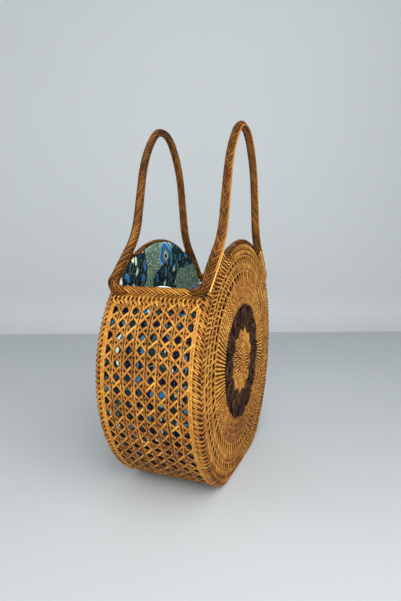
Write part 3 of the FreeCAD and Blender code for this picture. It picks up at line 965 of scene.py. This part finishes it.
        path = band_path(0)
        count = round(path.length / sizes.edge_step)
        stitch_row(rows, side, part(0.0), part(0.5), count, 6.5 * MM, size, 0.64, start, turn)
        stitch_row(rows, side, part(0.46), part(0.94), count, -6.5 * MM, size, 0.68, start, turn)
        for k in range(count):
            point, ahead, out, _ = path.frame(path.length * (k + 0.5) / count)
            corner, round_edge = out + ACROSS * side, out - ACROSS * side
            middle = point + ACROSS * side * HALF_DEPTH - corner * 1.5 * MM
            rows.add(middle, round_edge + ahead, corner, size=(9.0 * MM, 2.8 * MM, 2.2 * MM), tone=0.52)
            middle = point + ACROSS * side * (BAND_HALF + 2.4 * MM) - out * 0.4 * MM
            rows.add(middle, ACROSS * side - ahead, out, size=(8.5 * MM, 2.8 * MM, 2.2 * MM), tone=0.6)
        # The plate under the edge wraps is dark, a painted shade between them
        loops, steps = [], 200
        for k in range(steps + 1):
            a = start + turn * k / steps
            high = outline_reach(a)
            profile = [(OUTER_OPEN_EDGE, 1.2), (high - 3.2 * MM, 1.2), (high - 1.2 * MM, 3.2)]
            profile += [(high - 1.2 * MM, 7.0), (OUTER_OPEN_EDGE, 7.0)]
            loops.append([polar(r, a, side * (HALF_DEPTH - depth * MM)) for r, depth in profile])
        self.sew(name + "_edge_wraps", name + "_edge_coil", {"wrap": rows}, [(loops, False, 0.0)], 180 + side)

    def top(self, sizes, name, side):
        rows = Places(190 + side, 0.15)
        size = (sizes.stitch_width, sizes.stitch_height)
        start, turn = MOUTH_ANGLE, pi - 2 * MOUTH_ANGLE
        middle = (OUTER_OPEN_EDGE + CROWN_EDGE) / 2
        count = round(turn * middle / sizes.edge_step)
        stitch_row(rows, side, OUTER_OPEN_EDGE, middle + 0.4 * MM, count, 5.0 * MM, size, 0.62, start, turn)
        stitch_row(rows, side, middle - 0.4 * MM, CROWN_EDGE + 1.5 * MM, count, 5.0 * MM, size, 0.6, start, turn)
        plates = [plate(side, OUTER_OPEN_EDGE, CROWN_EDGE - 0.2 * MM, start, turn)]
        self.sew(name + "_top_stitches", name + "_top_coil", {"wrap": rows}, plates, 200 + side)
        y = side * (HALF_DEPTH - CROWN_RADIUS)
        low, high = CROWN_ANGLE - radians(1), pi - CROWN_ANGLE + radians(1)
        turns = [low + (high - low) * k / 60 for k in range(61)]
        bow = Path([polar(FACE_RADIUS - CROWN_RADIUS, a, y) for a in turns], UP)
        wraps = Places(210 + side, 0.1)
        plait(wraps, bow, lambda point: CROWN_RADIUS, sizes, 0.24)
        plates = [(tube(bow, CROWN_RADIUS - 1.2 * MM), False, CORE_SHADE_TONE)]
        passes = {"plait strand": wraps}
        self.sew(name + "_crown_plait", name + "_crown_binding", passes, plates, 220 + side, "dark_coil")

    def shoulders(self, name, side):
        middle, longest = Vector((0, 0, DISC_Z)), 17 * MM
        turn = shoulder_line()
        line = Path([turn[0].lerp(turn[1], k / 12) for k in range(12)] + turn[1:], UP)
        count = round(line.length / (4.6 * MM))
        for hand_name, hand in HANDS.items():
            bars, web = Places(230 + side + 3 * hand, 0.15), []

            def sunk(p, depth):
                return Vector((hand * p.x, side * (HALF_DEPTH - depth * MM), p.z))

            for k in range(count):
                point, ahead, _, _ = line.frame(line.length * (k + 0.5) / count)
                inward = Vector((-ahead.z, 0, ahead.x))
                top = point + inward * (BRAID_RADIUS - 1.5 * MM)
                low = top + inward * 3 * MM
                while (low - middle).length > CROWN_EDGE and (low - top).length < longest:
                    low += inward * 0.5 * MM
                if (low - top).length >= longest:
                    break
                # Each bar has a copy on the inner face, darker as painted shade
                for out, depth, tone in ((side, 1.2, 0.68), (-side, 5.0, 0.34)):
                    ends = [sunk(p, depth) for p in (top - ahead * 1.6 * MM, low + ahead * 1.6 * MM)]
                    bars.between(*ends, ACROSS * out, width=2.7 * MM, height=2.2 * MM, tone=tone)
                web.append([sunk(p, depth) for p, depth in ((top, 2.2), (low, 2.2), (low, 4.0), (top, 4.0))])
            rail = Path([loop[0] + ACROSS * side * 1.6 * MM for loop in web], ACROSS)
            # The web behind the bars is dark, a painted shade between them
            plates = [(web, False, 0.0), (tube(rail, 1.2 * MM, 6), False, 0.8)]
            title = name + "_" + hand_name + "_shoulder_"
            self.sew(title + "web", title + "filler", {"wrap": bars}, plates, 240 + side + 3 * hand)


class BAG_OT_plaits(bpy.types.Operator):
    """Plait the handles with their shoulders, and the rims of the mouth"""

    bl_idname = "bag.plaits"
    bl_label = "Plaits"

    def execute(self, context):
        sizes = context.scene.bag_sizes
        for name, side in SIDES.items():
            self.handle(sizes, name, side)
        for name, hand in HANDS.items():
            self.mouth_rim(sizes, name, hand)
        return {"FINISHED"}

    def handle(self, sizes, name, side):
        path = handle_path(side)
        leaves = Places(260 + side, 0.12, 0.6)

        def thick(point):
            # The plait thins out above the shoulders
            share = min(max((point.z - HINGE_Z) / (70 * MM) + 0.5, 0.0), 1.0)
            return BRAID_RADIUS - 0.8 * MM * share

        plait(leaves, path, thick, sizes, 0.31)
        core = (tube(path, lambda point: thick(point) - CORE_INSET), False, CORE_SHADE_TONE)
        line = [Vector(p) for p in path.points if p[2] > RIM_Z + 18 * MM]
        rail = Path([p + ACROSS * side * (thick(p) - 0.3 * MM) for p in line], UP)
        under = ground([core, (tube(rail, 1.1 * MM, 6), False, 0.4)])
        made = weave(name + "_handle_plait", cane_finish(), {"plait strand": leaves}, under, 270 + side)
        nodes = [name + "_handle_braid", name + "_handle_core"]
        nodes += [name + "_" + hand + "_shoulder_" + part for hand in HANDS for part in ("braid", "core")]
        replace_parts(made, *nodes)
        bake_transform(made)

    def mouth_rim(self, sizes, name, hand):
        place = polar(MOUTH_RIM, MOUTH_ANGLE)
        ends = [Vector((hand * place.x, s * (BRAID_Y - 13 * MM), place.z)) for s in (-1, 1)]
        path = Path([ends[0].lerp(ends[1], k / 20) for k in range(21)], UP)
        leaves = Places(280 + hand, 0.12, 0.6)
        plait(leaves, path, lambda point: BRAID_RADIUS, sizes, 0.54)
        under = ground([(tube(path, BRAID_RADIUS - CORE_INSET), False, CORE_SHADE_TONE)])
        made = weave(name + "_mouth_plait", cane_finish(), {"plait strand": leaves}, under, 290 + hand)
        keep(made, "basket", "plaited_braid", name + "_mouth_braid", name + "_mouth_core")


class BAG_OT_lining(bpy.types.Operator):
    """Sew in the printed lining: two round panels, the band between them and the hems"""

    bl_idname = "bag.lining"
    bl_label = "Lining"

    def execute(self, context):
        c = context.scene.bag_colours
        shades = (c.print_ground, c.print_navy, c.print_blue, c.print_teal, c.print_cream)
        cloth = finish_of("printed cotton", cotton, *shades, 0.5)
        # Print and painted shade: the band behind the cane cells takes only the dark part of the print
        shade_dark_print = finish_of("printed cotton, dark part for painted shade", cotton, *shades, 1.0)
        hem = finish_of("cotton tape", tape, c.hem)
        for name, side in SIDES.items():
            self.panel(name, side, cloth)
        self.band(shade_dark_print)
        for name, hand in HANDS.items():
            self.hem(name, hand, hem)
        return {"FINISHED"}

    def reach(self, angle):
        """Edge of a panel: the outline, the rising rims and the crown."""
        folded = min(angle % (2 * pi), (pi - angle) % (2 * pi))
        if MOUTH_ANGLE < folded < CROWN_ANGLE:
            corner, bend = polar(RIM_CORNER, MOUTH_ANGLE), leg_point(HINGE_Z - SHOULDER_FOOT)
            line = (bend - corner).normalized()
            normal = Vector((line.z, 0, -line.x))
            gap = abs((corner - Vector((0, 0, DISC_Z))).dot(normal)) - BRAID_RADIUS
            return min(gap / abs(Vector((cos(folded), 0, sin(folded))).dot(normal)), FACE_RADIUS + 1 * MM)
        return outline_reach(angle, LINING_INSET)

    def panel(self, name, side, cloth):
        turns, rings = 180, 16
        outer, inner = [], []
        for layer, depth in ((outer, 0), (inner, LINING_WALL)):
            for r in range(1, rings + 1):
                for k in range(turns):
                    a = 2 * pi * k / turns
                    p = polar(self.reach(a) * r / rings, a)
                    slack = noise.noise(p * 28) * 1.0 * MM * (1 - (r / rings) ** 4)
                    layer.append((p.x, side * (LINING_Y - depth - abs(slack)), p.z))
        points = outer + inner
        points += [(0, side * LINING_Y, DISC_Z), (0, side * (LINING_Y - LINING_WALL), DISC_Z)]
        size = turns * rings
        faces = []
        for base, centre in ((0, 2 * size), (size, 2 * size + 1)):
            for k in range(turns):
                n = (k + 1) % turns
                faces.append((base + k, base + n, centre))
                for r in range(rings - 1):
                    one, two = base + r * turns, base + (r + 1) * turns
                    faces.append((one + k, one + n, two + n, two + k))
        last = (rings - 1) * turns
        for k in range(turns):
            one, two = last + k, last + (k + 1) % turns
            faces.append((one, two, size + two, size + one))
        made = plain_mesh(name + "_lining_panel", points, faces)
        unwrap(made, lambda number, co: (co.x + 0.02 * side, co.z + 0.1 * side))
        made.data.materials.append(cloth)
        keep(made, "basket", "cotton_lining", name + "_lining")
        area = sum((self.reach(2 * pi * k / 720) ** 2) * pi / 720 for k in range(720))

    def band(self, cloth):
        path = band_path(LINING_INSET + 0.5 * MM)
        loops, distances, steps = [], [], 160
        half = LINING_WALL / 2
        columns = [LINING_HALF * (2 * i / 8 - 1) for i in range(9)]
        for k in range(steps + 1):
            d = path.length * k / steps
            p, _, out, _ = path.frame(d)
            loop = [p + out * half + ACROSS * y for y in columns]
            loop += [p - out * half + ACROSS * y for y in reversed(columns)]
            loops.append(loop)
            distances += [d] * len(loop)
        made = self.strip("gusset_lining_band", loops, cloth)
        unwrap(made, lambda number, co: (co.y, distances[number]))
        keep(made, "basket", "cotton_lining", "gusset_lining")

    def strip(self, name, loops, finish):
        made = ground([(loops, False, 0.0)])
        made.name = made.data.name = name
        drop_layers(made, "tone", "crest")
        made.data.materials.append(finish)
        return made

    def hem(self, name, hand, finish):
        path = band_path(5.6 * MM)
        p, ahead, out, _ = path.frame(1.0 * MM)
        peak = (12.4 if hand < 0 else 0) * MM
        loops, rise, columns = [], 0.0, 24
        for k in range(columns + 1):
            y = LINING_HALF * (2 * k / columns - 1)
            # The near tape gapes a little beside the middle of the rim
            gape = peak * max(0.0, 1 - ((y + 4 * MM) / (24 * MM)) ** 2)
            low, high = p + ahead * HEM_HEIGHT, p + UP * gape - out * gape * 0.12
            rise += (HEM_HEIGHT + gape) / (columns + 1)
            corners = ((low, 0.6), (high, 0.6), (high, -0.6), (low, -0.6))
            loops.append(mirrored([q + out * t * MM + ACROSS * y for q, t in corners], hand))
        made = self.strip(name + "_hem_tape", loops, finish)
        keep(made, "basket", "cotton_lining", name + "_lining_hem")


class BAG_OT_stage(bpy.types.Operator):
    """Set the pale table, the backdrop, the soft lights and the camera"""

    bl_idname = "bag.stage"
    bl_label = "Stage"

    CAMERA = Vector((-522.31, -204.78, 269.75)) * MM
    YAW, PITCH, ROLL = radians(-68.63), radians(6.37), radians(0.615)
    LENS = 440 / 601 * 36
    TABLE_END = 1.449

    def execute(self, context):
        c = context.scene.bag_colours
        self.camera(context)
        ahead = Vector((-sin(self.YAW), cos(self.YAW), 0))
        beside = Vector((cos(self.YAW), sin(self.YAW), 0))
        camera_foot = self.CAMERA.xy.to_3d()
        back = camera_foot + ahead * self.TABLE_END
        # The table's end isn't quite square to the view
        wide = (beside + ahead * 0.102) * 6
        table = [back - wide, back + wide, back + wide - ahead * 7, back - wide - ahead * 7]
        self.board("table_top", [p - UP * 0.001 for p in table], finish_of("painted table", matt, c.floor))
        far = back + ahead * 0.5 - UP
        wall = [far - wide, far + wide, far + wide + UP * 6, far - wide + UP * 6]
        self.board("backdrop", wall, finish_of("painted wall", matt, c.wall))
        middle, foot, disc = Vector((0, 0, 0.16)), Vector((0, 0, 0.05)), Vector((0, -HALF_DEPTH, 0.2))
        above_wall, on_wall = back - ahead * 1.3 + beside * 0.5 + UP * 1.5, far + beside * 0.5 + UP * 1.4
        behind_camera = camera_foot - ahead * 0.25 + beside * 0.15 + UP * 0.2
        above_camera = camera_foot - ahead * 0.5 + beside * 0.12 + UP * 1.0
        on_table = camera_foot + ahead * 0.43 + beside * 0.03
        self.light("key_light", (-1.1, -1.4, 1.9), middle, 1.6, 3)
        self.light("fill_light", (-1.0, 1.6, 1.2), middle, 1.6, 8)
        self.light("wall_light", above_wall, on_wall, 1.4, 10)
        self.light("foot_light", behind_camera, foot, 1.1, 11.5)
        self.lamp("table_light", above_camera, on_table, 44, 23)
        self.lamp("disc_light", (-0.3, -1.0, 1.25), disc, 36, 8)
        world = bpy.data.worlds.new("soft sky")
        world.use_nodes = True
        sky = {"Color": (0.93, 0.975, 1.0, 1), "Strength": 0.37}
        plug(world.node_tree, world.node_tree.nodes["Background"], sky)
        context.scene.world = world
        context.scene.view_settings.view_transform = "Standard"
        return {"FINISHED"}

    def camera(self, context):
        lens = bpy.data.cameras.new("photo_camera")
        lens.lens, lens.sensor_width, lens.sensor_fit = self.LENS, 36, "AUTO"
        eye = link(bpy.data.objects.new("photo_camera", lens))
        turn = Euler((pi / 2 - self.PITCH, 0, self.YAW)).to_matrix() @ Matrix.Rotation(self.ROLL, 3, "Z")
        eye.matrix_world = Matrix.Translation(self.CAMERA) @ turn.to_4x4()
        context.scene.camera = eye

    def board(self, name, corners, finish):
        made = plain_mesh(name, [tuple(p) for p in corners], [(0, 1, 2, 3)])
        made.data.materials.append(finish)

    def light(self, name, place, target, size, power):
        """Wide soft panel."""
        lamp = bpy.data.lights.new(name, "AREA")
        lamp.size, lamp.energy = size, power
        self.aim(link(bpy.data.objects.new(name, lamp)), place, target)

    def lamp(self, name, place, target, cone, power):
        """Round lamp with a soft cone, so that the table darkens towards its back edge."""
        lamp = bpy.data.lights.new(name, "SPOT")
        lamp.spot_size, lamp.energy = radians(cone), power
        lamp.spot_blend, lamp.shadow_soft_size = 1.0, 0.35
        self.aim(link(bpy.data.objects.new(name, lamp)), place, target)

    def aim(self, made, place, target):
        made.location = place
        made.rotation_euler = (target - Vector(place)).to_track_quat("-Z", "Y").to_euler()


class BAG_PT_panel(bpy.types.Panel):
    """Sizes, colours and steps of the woven bag"""

    bl_idname = "BAG_PT_panel"
    bl_label = "Round woven bag"
    bl_space_type = "VIEW_3D"
    bl_region_type = "UI"
    bl_category = "Bag"

    def draw(self, context):
        for group in (context.scene.bag_sizes, context.scene.bag_colours):
            for name in group.__annotations__:
                self.layout.prop(group, name)
        for step in STEPS:
            self.layout.operator(step.bl_idname)


STEPS = (BAG_OT_side_band, BAG_OT_discs, BAG_OT_plaits, BAG_OT_lining, BAG_OT_stage)
CLASSES = (BagSizes, BagColours, *STEPS, BAG_PT_panel)


def register():
    for cls in CLASSES:
        bpy.utils.register_class(cls)
    bpy.types.Scene.bag_sizes = PointerProperty(type=BagSizes)
    bpy.types.Scene.bag_colours = PointerProperty(type=BagColours)


def unregister():
    del bpy.types.Scene.bag_sizes, bpy.types.Scene.bag_colours
    for cls in reversed(CLASSES):
        bpy.utils.unregister_class(cls)


def main():
    register()
    bpy.ops.bag.side_band()
    bpy.ops.bag.discs()
    bpy.ops.bag.plaits()
    bpy.ops.bag.lining()
    bpy.ops.bag.stage()
    for name in MOTIFS:
        discard(bpy.data.objects[name])


if __name__ == "__main__":
    main()
